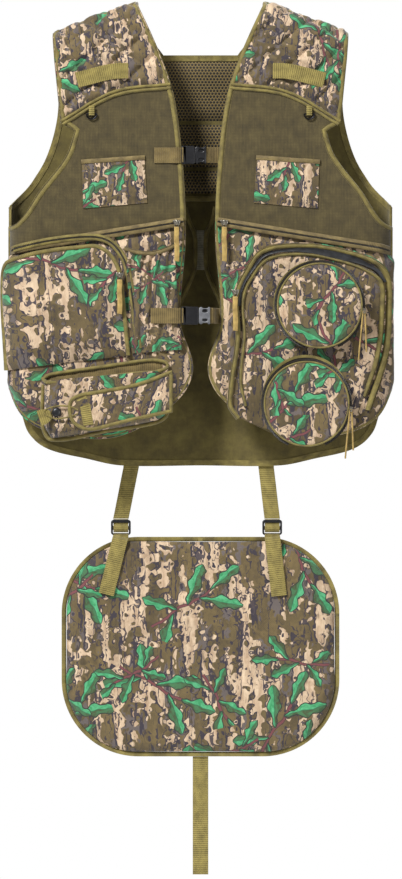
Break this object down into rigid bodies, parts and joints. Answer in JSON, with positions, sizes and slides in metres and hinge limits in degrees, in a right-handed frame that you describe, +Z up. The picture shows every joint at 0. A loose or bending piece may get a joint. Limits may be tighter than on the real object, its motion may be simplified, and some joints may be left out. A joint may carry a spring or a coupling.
{
  "type": "hunting vest with drop-down seat",
  "caption": "Camouflage hunting vest with mesh chest, call pockets, a box-call holster, side-release straps and a padded seat hung below its back hem.",
  "frame": {"origin": "middle of the neck, level with the line the shoulders rest on", "axes": "+Z up, +X to the wearer's left, -Y out of the front"},
  "size_m": [0.637, 0.1577, 1.4075],
  "materials": {
    "camo_cloth": "printed brushed polyester",
    "mesh_cloth": "fine woven mesh",
    "spacer_mesh": "spacer mesh",
    "olive_cloth": "plain weave",
    "olive_binding": "folded tape",
    "webbing": "ribbed webbing",
    "zip_tape": "coil zip on tape",
    "pull_tape": "flat tape",
    "slider_metal": "dark enamelled",
    "ring_metal": "dark enamelled",
    "buckle_plastic": "moulded acetal"
  },
  "bodies": {
    "vest_back": {"back_panel": "olive_cloth", "back_yokes": "camo_cloth", "back_bindings": "olive_binding", "back_pads": "spacer_mesh", "back_centre_tab": "webbing", "game_bag": "olive_cloth", "seat_strap_anchors": "webbing"},
    "right_front": {"right_front_yoke": "camo_cloth", "right_front_mesh": "mesh_cloth", "right_front_bindings": "olive_binding", "right_cargo_pocket": "camo_cloth", "right_top_zip": "zip_tape", "right_chest_pocket": "camo_cloth", "right_webbing_tabs": "webbing", "organizer_pocket": "camo_cloth", "organizer_zip": "zip_tape", "gathered_pocket": "camo_cloth", "call_holster": "camo_cloth", "holster_toggle": "buckle_plastic"},
    "left_front": {"left_front_yoke": "camo_cloth", "left_front_mesh": "mesh_cloth", "left_front_bindings": "olive_binding", "left_cargo_pocket": "camo_cloth", "left_top_zip": "zip_tape", "left_chest_pocket": "camo_cloth", "left_webbing_tabs": "webbing", "arch_pocket": "camo_cloth", "arch_zip": "zip_tape", "upper_pot_pocket": "camo_cloth", "lower_pot_pocket": "camo_cloth", "chest_buckle_socket": "buckle_plastic", "waist_buckle_socket": "buckle_plastic", "left_strap_ends": "webbing"},
    "right_d_ring": {"right_d_ring": "ring_metal"},
    "left_d_ring": {"left_d_ring": "ring_metal"},
    "chest_buckle_plug": {"chest_buckle_plug": "buckle_plastic"},
    "waist_buckle_plug": {"waist_buckle_plug": "buckle_plastic"},
    "holster_flap": {"holster_flap": "camo_cloth", "holster_loop": "webbing"},
    "right_top_zip_slider": {"right_top_zip_slider": "slider_metal"},
    "right_top_zip_pull": {"right_top_zip_pull": "pull_tape"},
    "left_top_zip_slider": {"left_top_zip_slider": "slider_metal"},
    "left_top_zip_pull": {"left_top_zip_pull": "pull_tape"},
    "organizer_zip_slider": {"organizer_zip_slider": "slider_metal"},
    "organizer_zip_pull": {"organizer_zip_pull": "pull_tape"},
    "arch_zip_slider": {"arch_zip_slider": "slider_metal"},
    "arch_zip_pull": {"arch_zip_pull": "pull_tape"},
    "upper_pot_slider": {"upper_pot_slider": "slider_metal"},
    "upper_pot_pull": {"upper_pot_pull": "pull_tape"},
    "lower_pot_slider": {"lower_pot_slider": "slider_metal"},
    "lower_pot_pull": {"lower_pot_pull": "pull_tape"},
    "upper_pot_lid": {"upper_pot_lid": "camo_cloth"},
    "lower_pot_lid": {"lower_pot_lid": "camo_cloth"},
    "seat_straps": {"seat_straps": "webbing"},
    "ladder_locks": {"ladder_locks": "buckle_plastic"},
    "seat": {"seat_tabs": "webbing", "seat_pad": "camo_cloth", "seat_binding": "olive_binding"},
    "strap_tails": {"strap_tails": "webbing"},
    "tail_strap": {"tail_strap": "webbing"}
  },
  "joints": [
    {"name": "right_front_open", "type": "hinge", "parent": "vest_back", "child": "right_front", "pos_m": [-0.3185, 0, -0.4], "axis": [0, 0, -1], "range_deg": [0, 30]},
    {"name": "left_front_open", "type": "hinge", "parent": "vest_back", "child": "left_front", "pos_m": [0.3185, 0, -0.4], "axis": [0, 0, 1], "range_deg": [0, 30]},
    {"name": "right_d_ring_swing", "type": "hinge", "parent": "right_front", "child": "right_d_ring", "pos_m": [-0.174, -0.0457, -0.173], "axis": [-1, 0, 0], "range_deg": [0, 110]},
    {"name": "left_d_ring_swing", "type": "hinge", "parent": "left_front", "child": "left_d_ring", "pos_m": [0.174, -0.0457, -0.173], "axis": [-1, 0, 0], "range_deg": [0, 110]},
    {"name": "chest_buckle_release", "type": "slide", "parent": "left_front", "child": "chest_buckle_plug", "axis": [-1, 0, 0], "range_m": [0, 0.03]},
    {"name": "waist_buckle_release", "type": "slide", "parent": "left_front", "child": "waist_buckle_plug", "axis": [-1, 0, 0], "range_m": [0, 0.03]},
    {"name": "holster_flap_swing", "type": "hinge", "parent": "right_front", "child": "holster_flap", "pos_m": [-0.046, -0.084, -0.62], "axis": [0, 0, 1], "range_deg": [0, 110]},
    {"name": "right_top_zip_run", "type": "slide", "parent": "right_front", "child": "right_top_zip_slider", "axis": [-0.9873, 0, -0.159], "range_m": [0, 0.076]},
    {"name": "left_top_zip_run", "type": "slide", "parent": "left_front", "child": "left_top_zip_slider", "axis": [0.9873, 0, -0.159], "range_m": [0, 0.095]},
    {"name": "right_top_zip_pull_swing", "type": "hinge", "parent": "right_top_zip_slider", "child": "right_top_zip_pull", "pos_m": [-0.038, -0.0605, -0.34712], "axis": [-1, 0, 0], "range_deg": [0, 90]},
    {"name": "left_top_zip_pull_swing", "type": "hinge", "parent": "left_top_zip_slider", "child": "left_top_zip_pull", "pos_m": [0.038, -0.0605, -0.34712], "axis": [-1, 0, 0], "range_deg": [0, 90]},
    {"name": "organizer_zip_run", "type": "slide", "parent": "right_front", "child": "organizer_zip_slider", "axis": [0.1003, 0, -0.995], "range_m": [0, 0.075]},
    {"name": "organizer_zip_pull_swing", "type": "hinge", "parent": "organizer_zip_slider", "child": "organizer_zip_pull", "pos_m": [-0.129, -0.065, -0.431], "axis": [-1, 0, 0], "range_deg": [0, 90]},
    {"name": "arch_zip_run", "type": "slide", "parent": "left_front", "child": "arch_zip_slider", "axis": [0, 0, -1], "range_m": [0, 0.06]},
    {"name": "arch_zip_pull_swing", "type": "hinge", "parent": "arch_zip_slider", "child": "arch_zip_pull", "pos_m": [0.0555, -0.065, -0.458], "axis": [-1, 0, 0], "range_deg": [0, 90]},
    {"name": "upper_pot_zip_run", "type": "hinge", "parent": "left_front", "child": "upper_pot_slider", "pos_m": [0.19, -0.082, -0.4803], "axis": [0, -1, 0], "range_deg": [0, 195]},
    {"name": "upper_pot_pull_swing", "type": "hinge", "parent": "upper_pot_slider", "child": "upper_pot_pull", "pos_m": [0.26013, -0.0921, -0.49141], "axis": [0, -1, 0], "range_deg": [-195, 0]},
    {"name": "upper_pot_lid_open", "type": "hinge", "parent": "left_front", "child": "upper_pot_lid", "pos_m": [0.19, -0.0825, -0.5478], "axis": [1, 0, 0], "range_deg": [0, 100]},
    {"name": "lower_pot_zip_run", "type": "hinge", "parent": "left_front", "child": "lower_pot_slider", "pos_m": [0.169, -0.082, -0.6368], "axis": [0, -1, 0], "range_deg": [0, 195]},
    {"name": "lower_pot_pull_swing", "type": "hinge", "parent": "lower_pot_slider", "child": "lower_pot_pull", "pos_m": [0.23913, -0.0921, -0.64791], "axis": [0, -1, 0], "range_deg": [-195, 0]},
    {"name": "lower_pot_lid_open", "type": "hinge", "parent": "left_front", "child": "lower_pot_lid", "pos_m": [0.169, -0.0825, -0.7043], "axis": [1, 0, 0], "range_deg": [0, 100]},
    {"name": "seat_swing", "type": "hinge", "parent": "vest_back", "child": "seat_straps", "pos_m": [0, 0.045, -0.738], "axis": [1, 0, 0], "range_deg": [-45, 150]},
    {"name": "seat_height", "type": "slide", "parent": "seat_straps", "child": "ladder_locks", "axis": [0, 0, 1], "range_m": [0, 0.04], "deforming": ["seat_straps"]},
    {"name": "seat_fold", "type": "hinge", "parent": "ladder_locks", "child": "seat", "pos_m": [0, 0.045, -0.8475], "axis": [1, 0, 0], "range_deg": [-45, 30]},
    {"name": "strap_tails_lift", "type": "hinge", "parent": "seat", "child": "strap_tails", "pos_m": [0, 0.036, -0.85], "axis": [-1, 0, 0], "range_deg": [0, 45]},
    {"name": "tail_strap_swing", "type": "hinge", "parent": "seat", "child": "tail_strap", "pos_m": [0, 0.045, -1.205], "axis": [1, 0, 0], "range_deg": [-90, 10]}
  ],
  "couplings": [
    {"joint": "upper_pot_pull_swing", "follows": "upper_pot_zip_run", "ratio": -1},
    {"joint": "lower_pot_pull_swing", "follows": "lower_pot_zip_run", "ratio": -1}
  ]
}
